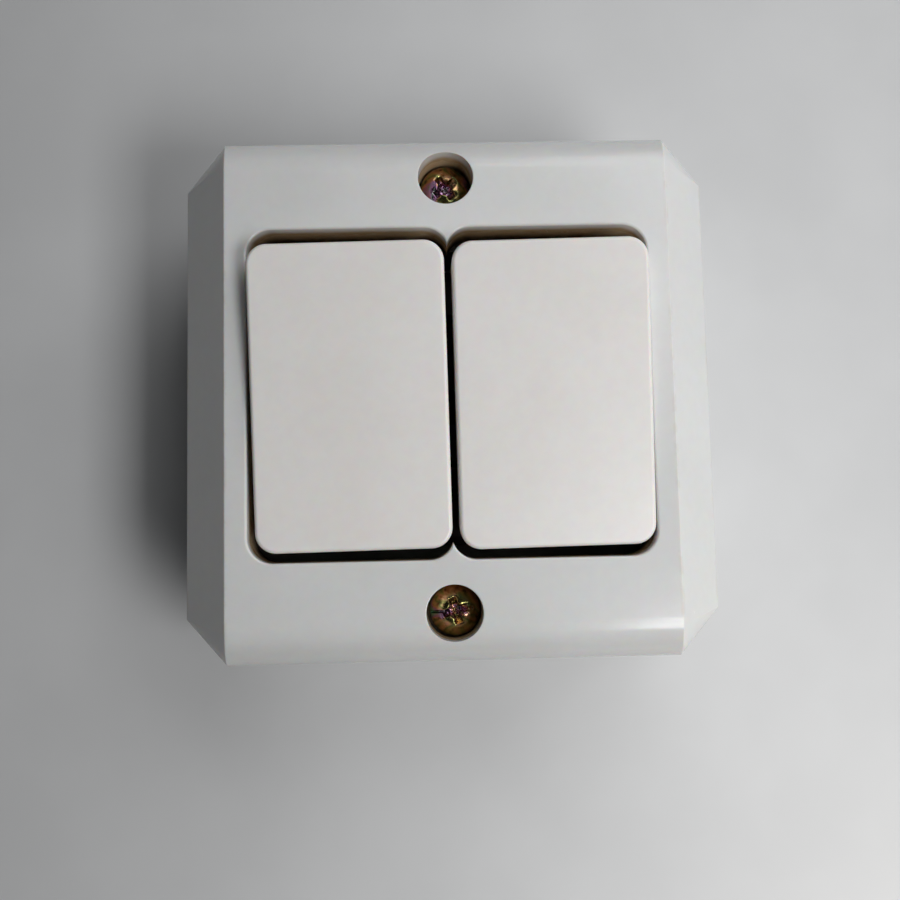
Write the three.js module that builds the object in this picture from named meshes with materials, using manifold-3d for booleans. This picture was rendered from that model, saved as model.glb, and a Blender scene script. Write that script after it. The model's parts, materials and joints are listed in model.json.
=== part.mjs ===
// Two-gang rocker wall switch, surface mounted.
// Millimetres, +Z out of the front, +Y towards the switch's top, back face on z = 0.
// Each gang: a rocker cap swings on trunnions, a sprung plunger in its stem pushes a see-saw
// contact over, and the see-saw closes on a fixed contact when the rocker's top is pressed.

import * as THREE from 'three';
import Module from 'manifold-3d';
import { mergeVertices } from 'three/addons/utils/BufferGeometryUtils.js';
import { ConvexGeometry } from 'three/addons/geometries/ConvexGeometry.js';

const wasm = await Module();
wasm.setup();

// ---- driving dimensions -------------------------------------------------------------------

const DEG = Math.PI / 180;
const SEAT_GAP = 0.05;               // left between two pieces that rest on each other
const PLAY = 0.3;                    // between separate mouldings
const ROOT = 0.5;                    // how far a rib or boss runs into what it grows from
const OVERCUT = 1;                   // how far a cut runs past the face that it opens
const DOME_STEPS = 4;                // facets in a quarter of a dome

// cover
const FRONT_Z = 30;                  // front face above the wall
const COVER_BOTTOM_Z = 0.3;
const RIM_DROP = 6;                  // rim of the side bevels below the front
const FRONT_HALF_W = 28.2;           // flat front, up to the bevels
const HALF_W = 34.4;
const HALF_H = 34.1;
const ROLL_START = 28.6;             // where the top and bottom edges begin to roll over
const CORNER_X = 29.1;               // cut corner, on the top and bottom edges
const CORNER_Y = 28.2;               // cut corner, on the side edges
const ROLL_STEPS = 8;
const WALL = 2.2;
const FRONT_WALL = 2.4;
const INSET = 0.9;                   // how much the inner corners stand in from the outer ones

// opening for the rockers: two rounded lobes that meet in a cusp
const OPENING_HALF_W = 25.45;
const OPENING_HALF_H = 21.05;
const LOBE_OVERLAP = 0.2;
const LOBE_R = 3.2;
const LIP_R = 0.3;
const LIP_STEPS = 3;
const COLLAR_WALL = 1.4;
const COLLAR_DEPTH = 6;

// cover screws
const SCREW_Y = 27.6;
const SCREW_HOLE_R = 3.52;
const SCREW_SEAT_Z = 24;
const SCREW_CLEARANCE_R = 2;
const SCREW_BOSS_R = 5;
const SCREW_BOSS_BOTTOM_Z = 20.4;
const SCREW_HEAD_R = 3.3;
const SCREW_HEAD_H = 2.3;
const SCREW_SHANK_R = 1.7;
const SCREW_TIP_Z = 9;
const NUT_SIZE = 6;
const NUT_H = 2.4;
const NUT_Z = 12.5;
const NUT_BORE_R = 1.8;

// pan heads and their cross recess, as shares of the head's radius and height
const DOME_SHARE = 0.38;
const RIM_SHARE = 0.4;
const RECESS_REACH = 0.62;
const RECESS_HALF_W = 0.14;
const RECESS_DEPTH = 0.62;
const RECESS_REACH_TAPER = 0.45;
const RECESS_WIDTH_TAPER = 0.7;
const SCREW_POINT_H = 0.6;
const SCREW_POINT_SHARE = 0.75;

// base
const BASE_T = 2.6;
const BASE_RIB_H = 7;
const BASE_RIB_T = 1.6;
const PILLAR_HALF_W = 5;
const PILLAR_Y0 = 23.2;
const PILLAR_Y1 = 31.2;
const PILLAR_TOP_Z = 20;
const WALL_SLOT_X = 27.2;
const WALL_SLOT_R = 1.9;
const WALL_SLOT_HALF_L = 2.6;
const CABLE_X = 15;
const CABLE_Y = 26.2;
const CABLE_HALF_W = 6.5;
const CABLE_HALF_H = 3.8;
const CABLE_CORNER_R = 2;

// the mechanism stands a little to the right of the cover's centre
const MECH_X = 0.22;
const GANG_PITCH = 25.4;
const GANGS = [
  { side: 'left', x: MECH_X - GANG_PITCH / 2 },
  { side: 'right', x: MECH_X + GANG_PITCH / 2 },
];

// rocker
const ROCKER_W = 24.45;
const ROCKER_H = 38.2;
const ROCKER_CORNER_R = 2.6;
const ROCKER_EDGE_R = 0.6;
const PIVOT_Z = 24;
const FACE_ABOVE_PIVOT = 7.75;      // the pressed end lies flush with the front
const ROCKER_SKIRT_BOTTOM = -0.5;
const ROCKER_FACE_T = 2;
const ROCKER_WALL = 1.5;
const ROCKER_RIB_HALF_T = 0.8;
const ROCKER_TILT = 5.75 * DEG;      // top raised; the other stop is the same angle beyond level
const TRUNNION_R = 1.5;
const TRUNNION_HALF_L = 7;
const STEM_R = 2.6;
const STEM_BOTTOM = -9;
const BORE_R = 1.6;
const BORE_TOP = -2;

// plunger and spring, in the stem's bore
const PLUNGER_R = 1.45;
const PLUNGER_TOP = -6;
const PLUNGER_TIP = -10.9;
const SPRING_MEAN_R = 1.15;
const SPRING_WIRE_R = 0.2;
const SPRING_TURNS = 4;
const SPRING_STEPS_PER_TURN = 12;

// see-saw contact
const SEESAW_Z = 11.6;
const SEESAW_TILT = 9.2 * DEG;
const SEESAW_HALF_L = 9.5;
const SEESAW_HALF_W = 2.4;
const SEESAW_UNDER = 0.5;
const SEESAW_T = 0.9;
const ROLL_R = 0.8;
const ROLL_CLEARANCE = 0.1;
const TIP_Y = 8;
const TIP_R = 1.5;
const TIP_RIM = 0.4;
const TIP_H = 0.9;

// strips, cradles and terminals
const STRIP_Z = 8.2;
const STRIP_T = 0.8;
const STRIP_HALF_W = 2.2;
const STRIP_END_Y = 17.6;
const STRIP_START_Y = 5.6;
const CRADLE_HALF_Y = 2;
const CRADLE_TOP_Z = 11.4;
const TERMINAL_Y0 = 12.7;
const TERMINAL_Y1 = 18;
const TERMINAL_HALF_W = 3.4;
const TERMINAL_WALL = 1.1;
const TERMINAL_Z0 = 6.9;
const TERMINAL_Z1 = 13.3;
const TERMINAL_SCREW_R = 1.45;
const TERMINAL_HEAD_R = 2.6;
const TERMINAL_HEAD_H = 2;
const TERMINAL_HEAD_CHAMFER = 0.3;
const TERMINAL_SLOT_HALF_W = 0.35;
const TERMINAL_SLOT_DEPTH = 0.9;

// contact block
const BLOCK_HALF_W = 22.5;
const BLOCK_HALF_H = 19.6;
const BLOCK_TOP_Z = 14;
const BLOCK_BOTTOM_Z = BASE_T + PLAY;
const POCKET_HALF_W = 4.4;
const POCKET_HALF_H = 12.4;
const POCKET_FLOOR_Z = STRIP_Z - SEAT_GAP;
const END_WALL = 1.3;
const STOP_TOP_Z = 21.3;
const STOP_HALF_W = 3;
const POST_X0 = 5;
const POST_X1 = 7.4;
const POST_HALF_Y = 3;
const POST_TOP_Z = 25.7;
const BEARING_R = TRUNNION_R + 0.06;
const BEARING_MOUTH = 1.2;
const BEARING_REACH = 9;             // half length of the cuts along a gang's axes
const CORING_WALL = 1.6;
const BLOCK_SCREW_Y = 10.5;
const BLOCK_SCREW_R = 1.3;
const BLOCK_SCREW_HEAD_R = 2.6;
const BLOCK_SCREW_HEAD_H = 1.9;
const BLOCK_SCREW_SEAT_Z = 11;
const BLOCK_SCREW_TIP_Z = 1.2;
const BLOCK_SCREW_HOLE_Z = 0.8;
const BOSS_R = 3;
const BOSS_TOP_Z = 7;

// ---- solids -------------------------------------------------------------------------------

function toSolid(geometry) {
  const bare = geometry.clone();
  bare.deleteAttribute('normal');
  bare.deleteAttribute('uv');
  const merged = mergeVertices(bare, 1e-5);
  const source = merged.index.array;
  const triangles = [];
  for (let i = 0; i < source.length; i += 3) {
    const [a, b, c] = [source[i], source[i + 1], source[i + 2]];
    if (a !== b && b !== c && c !== a) triangles.push(a, b, c);
  }
  return new wasm.Manifold(new wasm.Mesh({
    numProp: 3,
    vertProperties: new Float32Array(merged.attributes.position.array),
    triVerts: new Uint32Array(triangles),
  }));
}

function toGeometry(solid) {
  const mesh = solid.getMesh();
  const geometry = new THREE.BufferGeometry();
  geometry.setAttribute('position', new THREE.BufferAttribute(mesh.vertProperties, 3));
  geometry.setIndex(new THREE.BufferAttribute(mesh.triVerts, 1));
  geometry.computeVertexNormals();
  return geometry;
}

function box(x0, x1, y0, y1, z0, z1) {
  const geometry = new THREE.BoxGeometry(x1 - x0, y1 - y0, z1 - z0);
  geometry.translate((x0 + x1) / 2, (y0 + y1) / 2, (z0 + z1) / 2);
  return toSolid(geometry);
}

function cylinder(r, x, y, z0, z1, segments = 32) {
  const geometry = new THREE.CylinderGeometry(r, r, z1 - z0, segments);
  geometry.rotateX(Math.PI / 2);
  geometry.translate(x, y, (z0 + z1) / 2);
  return toSolid(geometry);
}

function cylinderAlongX(r, x0, x1, y, z, segments = 32) {
  const geometry = new THREE.CylinderGeometry(r, r, x1 - x0, segments);
  geometry.rotateZ(Math.PI / 2);
  geometry.translate((x0 + x1) / 2, y, z);
  return toSolid(geometry);
}

// A turned solid on the Z axis; the profile holds [radius, z] pairs from axis to axis.
function turned(profile, segments = 24) {
  const points = profile.map(([r, z]) => new THREE.Vector2(r, z));
  const geometry = new THREE.LatheGeometry(points, segments);
  geometry.rotateX(Math.PI / 2);
  return toSolid(geometry);
}

function prism(points, z0, z1) {
  const geometry = new THREE.ExtrudeGeometry(new THREE.Shape(points), {
    depth: z1 - z0,
    bevelEnabled: false,
  });
  geometry.translate(0, 0, z0);
  return toSolid(geometry);
}

function roundedRectangle(halfW, halfH, r) {
  const shape = new THREE.Shape();
  shape.absarc(halfW - r, halfH - r, r, 0, Math.PI / 2);
  shape.absarc(r - halfW, halfH - r, r, Math.PI / 2, Math.PI);
  shape.absarc(r - halfW, r - halfH, r, Math.PI, Math.PI * 1.5);
  shape.absarc(halfW - r, r - halfH, r, Math.PI * 1.5, Math.PI * 2);
  return shape;
}

function fuse(solids) {
  return solids.reduce((whole, solid) => whole.add(solid));
}

// ---- cover --------------------------------------------------------------------------------

// The cover's outer form, and with an inset its inner one: a flat front, a bevel on each side,
// a roll-over along the top and bottom, and four cut corners.
function coverForm(inset, wall, frontZ, bottomZ) {
  const rimZ = frontZ - RIM_DROP;
  const halfH = HALF_H - wall;
  const cornerX = CORNER_X - inset;
  const rollStart = ROLL_START - inset;
  const points = [];
  for (const sx of [-1, 1]) {
    for (const sy of [-1, 1]) {
      for (let i = 0; i < ROLL_STEPS; i += 1) {
        const angle = (i / ROLL_STEPS) * (Math.PI / 2);
        const drop = 1 - Math.cos(angle);
        const x = FRONT_HALF_W - inset + (CORNER_X - FRONT_HALF_W) * drop;
        const y = rollStart + (halfH - rollStart) * Math.sin(angle);
        points.push(new THREE.Vector3(sx * x, sy * y, frontZ - RIM_DROP * drop));
      }
      for (const z of [rimZ, bottomZ]) {
        points.push(new THREE.Vector3(sx * cornerX, sy * halfH, z));
        points.push(new THREE.Vector3(sx * (HALF_W - wall), sy * (CORNER_Y - inset), z));
      }
    }
  }
  return toSolid(new ConvexGeometry(points));
}

function lobeOutline(side, grow) {
  const halfW = (OPENING_HALF_W + LOBE_OVERLAP) / 2;
  const shape = roundedRectangle(halfW + grow, OPENING_HALF_H + grow, LOBE_R + grow);
  const centre = side * (OPENING_HALF_W - LOBE_OVERLAP) / 2;
  return shape.getPoints(6).map((p) => new THREE.Vector2(p.x + centre, p.y));
}

function ring(outline, z) {
  return outline.map((p) => new THREE.Vector3(p.x, p.y, z));
}

// The rockers' opening with its rounded lip, as a solid to cut away.
function openingCut() {
  const parts = [];
  for (const side of [-1, 1]) {
    const lipBottomZ = FRONT_Z - LIP_R;
    const shaft = [
      ...ring(lobeOutline(side, 0), FRONT_Z - COLLAR_DEPTH - OVERCUT),
      ...ring(lobeOutline(side, 0), lipBottomZ),
    ];
    parts.push(toSolid(new ConvexGeometry(shaft)));
    for (let i = 0; i < LIP_STEPS; i += 1) {
      const slice = [i, i + 1].flatMap((step) => {
        const angle = (step / LIP_STEPS) * (Math.PI / 2);
        const overcut = step === LIP_STEPS ? SEAT_GAP : 0;
        const z = lipBottomZ + LIP_R * Math.sin(angle) + overcut;
        return ring(lobeOutline(side, LIP_R * (1 - Math.cos(angle))), z);
      });
      parts.push(toSolid(new ConvexGeometry(slice)));
    }
  }
  return fuse(parts);
}

function openingCollar() {
  const walls = [-1, 1].map((side) => prism(
    lobeOutline(side, COLLAR_WALL),
    FRONT_Z - COLLAR_DEPTH,
    FRONT_Z - LIP_R,
  ));
  return fuse(walls);
}

function cover() {
  const outer = coverForm(0, 0, FRONT_Z, COVER_BOTTOM_Z);
  const inner = coverForm(INSET, WALL, FRONT_Z - FRONT_WALL, COVER_BOTTOM_Z - OVERCUT);
  const bosses = [-1, 1].map((side) => cylinder(
    SCREW_BOSS_R, 0, side * SCREW_Y, SCREW_BOSS_BOTTOM_Z, FRONT_Z - ROOT,
  ));
  let solid = outer.subtract(inner).add(fuse([openingCollar(), ...bosses]).intersect(outer));
  solid = solid.subtract(openingCut());
  for (const side of [-1, 1]) {
    const y = side * SCREW_Y;
    solid = solid.subtract(cylinder(SCREW_HOLE_R, 0, y, SCREW_SEAT_Z, FRONT_Z + OVERCUT, 40));
    solid = solid.subtract(cylinder(SCREW_CLEARANCE_R, 0, y, COVER_BOTTOM_Z, FRONT_Z, 24));
  }
  return toGeometry(solid);
}

// ---- base ---------------------------------------------------------------------------------

function baseOutline(shrink) {
  const halfW = HALF_W - WALL - 2 * PLAY - shrink;
  const halfH = HALF_H - WALL - 2 * PLAY - shrink;
  const cornerX = CORNER_X - INSET - 2 * PLAY - shrink / 2;
  const cornerY = CORNER_Y - INSET - 2 * PLAY - shrink / 2;
  return [
    [cornerX, halfH], [-cornerX, halfH], [-halfW, cornerY], [-halfW, -cornerY],
    [-cornerX, -halfH], [cornerX, -halfH], [halfW, -cornerY], [halfW, cornerY],
  ].map(([x, y]) => new THREE.Vector2(x, y));
}

function slotCut(x, y, halfL, r, z0, z1) {
  const shape = new THREE.Shape();
  shape.absarc(x, y + halfL, r, 0, Math.PI);
  shape.absarc(x, y - halfL, r, Math.PI, Math.PI * 2);
  return prism(shape.getPoints(8), z0, z1);
}

function base() {
  const rib = prism(baseOutline(0), BASE_T - ROOT, BASE_RIB_H)
    .subtract(prism(baseOutline(BASE_RIB_T), 0, BASE_RIB_H + OVERCUT));
  let solid = prism(baseOutline(0), 0, BASE_T).add(rib);
  for (const side of [-1, 1]) {
    const [y0, y1] = side > 0 ? [PILLAR_Y0, PILLAR_Y1] : [-PILLAR_Y1, -PILLAR_Y0];
    solid = solid.add(box(-PILLAR_HALF_W, PILLAR_HALF_W, y0, y1, BASE_T - ROOT, PILLAR_TOP_Z));
    solid = solid.add(cylinder(BOSS_R, MECH_X, side * BLOCK_SCREW_Y, BASE_T - ROOT, BOSS_TOP_Z));
  }
  for (const side of [-1, 1]) {
    const y = side * SCREW_Y;
    const half = NUT_SIZE / 2 + PLAY / 2;
    const slotStart = PILLAR_Y0 - OVERCUT;
    const [slot0, slot1] = side > 0 ? [slotStart, y + half] : [y - half, -slotStart];
    solid = solid.subtract(cylinder(SCREW_CLEARANCE_R, 0, y, SCREW_TIP_Z - OVERCUT, FRONT_Z, 24));
    solid = solid.subtract(
      box(-half, half, slot0, slot1, NUT_Z - SEAT_GAP, NUT_Z + NUT_H + PLAY),
    );
    solid = solid.subtract(cylinder(
      BLOCK_SCREW_R + SEAT_GAP, MECH_X, side * BLOCK_SCREW_Y, BLOCK_SCREW_HOLE_Z, FRONT_Z, 20,
    ));
    solid = solid.subtract(
      slotCut(side * WALL_SLOT_X, 0, WALL_SLOT_HALF_L, WALL_SLOT_R, -OVERCUT, BASE_T + OVERCUT),
    );
    const cableHole = roundedRectangle(CABLE_HALF_W, CABLE_HALF_H, CABLE_CORNER_R).getPoints(5)
      .map((p) => new THREE.Vector2(p.x + side * CABLE_X, p.y + CABLE_Y));
    solid = solid.subtract(prism(cableHole, -OVERCUT, BASE_T + OVERCUT));
  }
  return toGeometry(solid);
}

// ---- cover screws and nuts ----------------------------------------------------------------

// A cross recess, its four blades narrowing with depth below z = top.
function crossRecess(top, reach, halfWidth, depth) {
  const blade = (alongX) => {
    const corners = [
      [reach, halfWidth, top + ROOT],
      [reach * RECESS_REACH_TAPER, halfWidth * RECESS_WIDTH_TAPER, top - depth],
    ].flatMap(([length, width, z]) => [-1, 1].flatMap((sx) => [-1, 1].map((sy) => (
      alongX
        ? new THREE.Vector3(sx * length, sy * width, z)
        : new THREE.Vector3(sx * width, sy * length, z)
    ))));
    return toSolid(new ConvexGeometry(corners));
  };
  return blade(true).add(blade(false));
}

// A pan-head machine screw seated on z = 0, its shank pointing down.
function panScrew(headR, headH, shankR, length) {
  const dome = [];
  for (let i = 0; i <= DOME_STEPS; i += 1) {
    const angle = (i / DOME_STEPS) * (Math.PI / 2);
    const r = headR * (1 - DOME_SHARE * (1 - Math.cos(angle)));
    dome.push([r, headH * (RIM_SHARE + (1 - RIM_SHARE) * Math.sin(angle))]);
  }
  const solid = turned([
    [0, -length], [shankR * SCREW_POINT_SHARE, -length], [shankR, SCREW_POINT_H - length],
    [shankR, 0], [headR, 0], ...dome, [0, headH],
  ]);
  const recess = crossRecess(
    headH, headR * RECESS_REACH, headR * RECESS_HALF_W, headH * RECESS_DEPTH,
  );
  return solid.subtract(recess);
}

function coverScrew() {
  const screw = panScrew(SCREW_HEAD_R, SCREW_HEAD_H, SCREW_SHANK_R, SCREW_SEAT_Z - SCREW_TIP_Z);
  return toGeometry(screw);
}

function squareNut() {
  const half = NUT_SIZE / 2;
  const solid = box(-half, half, -half, half, 0, NUT_H);
  const bore = cylinder(NUT_BORE_R, 0, 0, -OVERCUT, NUT_H + OVERCUT, 24);
  return toGeometry(solid.subtract(bore));
}

// ---- contact block ------------------------------------------------------------------------

function blockHollows(gangX) {
  const cuts = [
    box(
      gangX - POCKET_HALF_W, gangX + POCKET_HALF_W, -POCKET_HALF_H, POCKET_HALF_H,
      POCKET_FLOOR_Z, BLOCK_TOP_Z + OVERCUT,
    ),
  ];
  for (const side of [-1, 1]) {
    const inner = POCKET_HALF_H - OVERCUT;
    const outer = BLOCK_HALF_H - END_WALL;
    const [y0, y1] = side > 0 ? [inner, outer] : [-outer, -inner];
    const half = TERMINAL_HALF_W + PLAY;
    cuts.push(box(
      gangX - half, gangX + half, y0, y1, TERMINAL_Z0 - SEAT_GAP, BLOCK_TOP_Z + OVERCUT,
    ));
    const window0 = outer - OVERCUT;
    const window1 = BLOCK_HALF_H + OVERCUT;
    const [w0, w1] = side > 0 ? [window0, window1] : [-window1, -window0];
    cuts.push(box(
      gangX - STRIP_HALF_W, gangX + STRIP_HALF_W, w0, w1,
      STRIP_Z + STRIP_T, TERMINAL_Z1 - TERMINAL_WALL,
    ));
  }
  return fuse(cuts);
}

// A post on each side of the stem, with a bearing that is open at the top for the trunnion.
function bearingPosts(gangX) {
  const posts = [-1, 1].map((side) => {
    const [near, far] = side > 0 ? [POST_X0, POST_X1] : [-POST_X1, -POST_X0];
    return box(
      gangX + near, gangX + far, -POST_HALF_Y, POST_HALF_Y, BLOCK_TOP_Z - ROOT, POST_TOP_Z,
    );
  });
  const x0 = gangX - BEARING_REACH;
  const x1 = gangX + BEARING_REACH;
  const bearing = cylinderAlongX(BEARING_R, x0, x1, 0, PIVOT_Z);
  const mouth = box(x0, x1, -BEARING_MOUTH, BEARING_MOUTH, PIVOT_Z, FRONT_Z);
  return fuse(posts).subtract(bearing.add(mouth));
}

function rockerStops(gangX) {
  const stops = [-1, 1].map((side) => {
    const outer = BLOCK_HALF_H;
    const inner = BLOCK_HALF_H - END_WALL;
    const [y0, y1] = side > 0 ? [inner, outer] : [-outer, -inner];
    return box(
      gangX - STOP_HALF_W, gangX + STOP_HALF_W, y0, y1, BLOCK_TOP_Z - ROOT, STOP_TOP_Z,
    );
  });
  return fuse(stops);
}

// Moulding hollows in the underside, on each side of the pockets.
function blockCoring() {
  const wall = CORING_WALL;
  const cuts = [];
  for (const gang of GANGS) {
    cuts.push(box(
      gang.x - POCKET_HALF_W, gang.x + POCKET_HALF_W, -POCKET_HALF_H, POCKET_HALF_H,
      BLOCK_BOTTOM_Z - OVERCUT, POCKET_FLOOR_Z - wall,
    ));
    const outward = Math.sign(gang.x);
    const near = gang.x + outward * (POCKET_HALF_W + wall);
    const far = outward * (BLOCK_HALF_W - wall);
    const half = BLOCK_HALF_H - wall;
    cuts.push(box(
      Math.min(near, far), Math.max(near, far), -half, half,
      BLOCK_BOTTOM_Z - OVERCUT, BLOCK_TOP_Z - wall,
    ));
  }
  return fuse(cuts);
}

function contactBlock() {
  let solid = box(
    -BLOCK_HALF_W, BLOCK_HALF_W, -BLOCK_HALF_H, BLOCK_HALF_H, BLOCK_BOTTOM_Z, BLOCK_TOP_Z,
  );
  for (const gang of GANGS) {
    solid = fuse([solid, bearingPosts(gang.x), rockerStops(gang.x)]);
  }
  for (const gang of GANGS) solid = solid.subtract(blockHollows(gang.x));
  solid = solid.subtract(blockCoring());
  const channel = STRIP_HALF_W + PLAY;
  solid = solid.subtract(box(
    GANGS[0].x, GANGS[1].x, -channel, channel, POCKET_FLOOR_Z, BLOCK_TOP_Z + OVERCUT,
  ));
  for (const side of [-1, 1]) {
    const y = side * BLOCK_SCREW_Y;
    solid = solid.subtract(fuse([
      cylinder(BLOCK_SCREW_R + PLAY, MECH_X, y, 0, FRONT_Z, 20),
      cylinder(BLOCK_SCREW_HEAD_R + PLAY, MECH_X, y, BLOCK_SCREW_SEAT_Z, FRONT_Z, 28),
      cylinder(BOSS_R + PLAY, MECH_X, y, 0, BOSS_TOP_Z + PLAY, 28),
    ]));
  }
  return toGeometry(solid);
}

function blockScrew() {
  const length = BLOCK_SCREW_SEAT_Z - BLOCK_SCREW_TIP_Z;
  const screw = panScrew(BLOCK_SCREW_HEAD_R, BLOCK_SCREW_HEAD_H, BLOCK_SCREW_R, length);
  return toGeometry(screw);
}

// ---- rocker, plunger and spring (level, pivot at the origin) ------------------------------

function rockerCap() {
  const halfW = ROCKER_W / 2;
  const halfH = ROCKER_H / 2;
  const outline = roundedRectangle(
    halfW - ROCKER_EDGE_R, halfH - ROCKER_EDGE_R, ROCKER_CORNER_R - ROCKER_EDGE_R,
  );
  const bottom = ROCKER_SKIRT_BOTTOM - ROCKER_EDGE_R - OVERCUT;
  const geometry = new THREE.ExtrudeGeometry(outline, {
    depth: FACE_ABOVE_PIVOT - ROCKER_EDGE_R - bottom,
    curveSegments: 6,
    bevelSize: ROCKER_EDGE_R,
    bevelThickness: ROCKER_EDGE_R,
    bevelSegments: 3,
  });
  geometry.translate(0, 0, bottom);
  const inner = roundedRectangle(
    halfW - ROCKER_WALL, halfH - ROCKER_WALL, ROCKER_CORNER_R - ROCKER_WALL,
  );
  const ceiling = FACE_ABOVE_PIVOT - ROCKER_FACE_T;
  const trim = box(
    -halfW - OVERCUT, halfW + OVERCUT, -halfH - OVERCUT, halfH + OVERCUT,
    bottom - ROCKER_EDGE_R - OVERCUT, ROCKER_SKIRT_BOTTOM,
  );
  return toSolid(geometry)
    .subtract(trim)
    .subtract(prism(inner.getPoints(3), bottom - OVERCUT, ceiling));
}

function rocker() {
  const ceiling = FACE_ABOVE_PIVOT - ROCKER_FACE_T;
  const webHalf = POST_X0 - PLAY;
  const ribHalf = ROCKER_H / 2 - ROCKER_WALL + ROOT;
  const half = ROCKER_RIB_HALF_T;
  const web = box(-webHalf, webHalf, -half, half, 0, ceiling + ROOT);
  const rib = box(-half, half, -ribHalf, ribHalf, ceiling - 2 * half, ceiling + ROOT);
  const stem = cylinder(STEM_R, 0, 0, STEM_BOTTOM, ceiling + ROOT, 28);
  const trunnion = cylinderAlongX(TRUNNION_R, -TRUNNION_HALF_L, TRUNNION_HALF_L, 0, 0);
  const solid = fuse([rockerCap(), web, rib, stem, trunnion]);
  const bore = cylinder(BORE_R, 0, 0, STEM_BOTTOM - OVERCUT, BORE_TOP, 28);
  return toGeometry(solid.subtract(bore));
}

function plunger() {
  const profile = [[0, PLUNGER_TIP]];
  for (let i = 1; i <= DOME_STEPS; i += 1) {
    const angle = (i / DOME_STEPS) * (Math.PI / 2);
    profile.push([PLUNGER_R * Math.sin(angle), PLUNGER_TIP + PLUNGER_R * (1 - Math.cos(angle))]);
  }
  profile.push([PLUNGER_R, PLUNGER_TOP], [0, PLUNGER_TOP]);
  return toGeometry(turned(profile, 18));
}

class Helix extends THREE.Curve {
  constructor(radius, z0, z1, turns) {
    super();
    Object.assign(this, { radius, z0, z1, turns });
  }

  getPoint(t, target = new THREE.Vector3()) {
    const angle = t * this.turns * Math.PI * 2;
    const z = this.z0 + (this.z1 - this.z0) * t;
    return target.set(this.radius * Math.cos(angle), this.radius * Math.sin(angle), z);
  }
}

function spring() {
  const margin = SPRING_WIRE_R + 2 * SEAT_GAP;
  const path = new Helix(SPRING_MEAN_R, PLUNGER_TOP + margin, BORE_TOP - margin, SPRING_TURNS);
  const section = new THREE.Shape();
  section.absarc(0, 0, SPRING_WIRE_R, 0, Math.PI * 2);
  const wire = new THREE.ExtrudeGeometry(section, {
    steps: SPRING_TURNS * SPRING_STEPS_PER_TURN,
    curveSegments: 3,
    bevelEnabled: false,
    extrudePath: path,
  });
  return toGeometry(toSolid(wire));
}

// ---- see-saw and contacts -----------------------------------------------------------------

function seesaw() {
  const bar = box(
    -SEESAW_HALF_W, SEESAW_HALF_W, -SEESAW_HALF_L, SEESAW_HALF_L,
    SEESAW_UNDER, SEESAW_UNDER + SEESAW_T,
  );
  return toGeometry(bar.add(cylinderAlongX(ROLL_R, -SEESAW_HALF_W, SEESAW_HALF_W, 0, 0, 28)));
}

// A domed contact tip standing on z = 0.
function contactTip(height) {
  const dome = [];
  for (let i = 1; i < DOME_STEPS; i += 1) {
    const angle = (i / DOME_STEPS) * (Math.PI / 2);
    dome.push([TIP_R * Math.cos(angle), TIP_RIM + (height - TIP_RIM) * Math.sin(angle)]);
  }
  return turned([[0, 0], [TIP_R, 0], [TIP_R, TIP_RIM], ...dome, [0, height]], 18);
}

function commonStrip() {
  const [left, right] = GANGS.map((gang) => gang.x);
  const top = STRIP_Z + STRIP_T;
  const cradle = (x) => box(
    x - SEESAW_HALF_W, x + SEESAW_HALF_W, -CRADLE_HALF_Y, CRADLE_HALF_Y,
    top - ROOT, CRADLE_TOP_Z,
  );
  const groove = cylinderAlongX(
    ROLL_R + ROLL_CLEARANCE, left - BEARING_REACH, right + BEARING_REACH, 0, SEESAW_Z,
  );
  const bar = box(
    left - SEESAW_HALF_W, right + SEESAW_HALF_W, -STRIP_HALF_W, STRIP_HALF_W, STRIP_Z, top,
  );
  const leg = box(
    left - STRIP_HALF_W, left + STRIP_HALF_W, -STRIP_HALF_W, STRIP_END_Y, STRIP_Z, top,
  );
  return toGeometry(fuse([bar, leg, cradle(left), cradle(right)]).subtract(groove));
}

function switchedStrip() {
  const top = STRIP_Z + STRIP_T;
  return toGeometry(
    box(-STRIP_HALF_W, STRIP_HALF_W, -STRIP_END_Y, -STRIP_START_Y, STRIP_Z, top),
  );
}

// A cage with a tunnel along Y for the strip and the wire, and a hole for its clamping screw.
function terminal() {
  const half = TERMINAL_HALF_W;
  const innerHalf = half - TERMINAL_WALL + PLAY;
  const length = (TERMINAL_Y1 - TERMINAL_Y0) / 2;
  const cage = box(-half, half, -length, length, TERMINAL_Z0, TERMINAL_Z1);
  const tunnel = box(
    -innerHalf, innerHalf, -length - OVERCUT, length + OVERCUT,
    STRIP_Z - PLAY, TERMINAL_Z1 - TERMINAL_WALL,
  );
  const holeR = TERMINAL_SCREW_R + 2 * SEAT_GAP;
  const screwHole = cylinder(holeR, 0, 0, STRIP_Z, TERMINAL_Z1 + OVERCUT, 18);
  return toGeometry(cage.subtract(tunnel).subtract(screwHole));
}

function terminalScrew() {
  const seat = TERMINAL_Z1 + SEAT_GAP;
  const tip = STRIP_Z + STRIP_T + PLAY;
  const top = seat + TERMINAL_HEAD_H;
  const body = turned([
    [0, tip], [TERMINAL_SCREW_R, tip], [TERMINAL_SCREW_R, seat], [TERMINAL_HEAD_R, seat],
    [TERMINAL_HEAD_R, top - TERMINAL_HEAD_CHAMFER],
    [TERMINAL_HEAD_R - TERMINAL_HEAD_CHAMFER, top], [0, top],
  ], 18);
  const reach = TERMINAL_HEAD_R + OVERCUT;
  const half = TERMINAL_SLOT_HALF_W;
  const slot = box(-reach, reach, -half, half, top - TERMINAL_SLOT_DEPTH, top + OVERCUT);
  return toGeometry(body.subtract(slot));
}

// ---- materials ----------------------------------------------------------------------------

function finish(color, roughness, metalness) {
  return () => new THREE.MeshStandardMaterial({ color, roughness, metalness });
}

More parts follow.
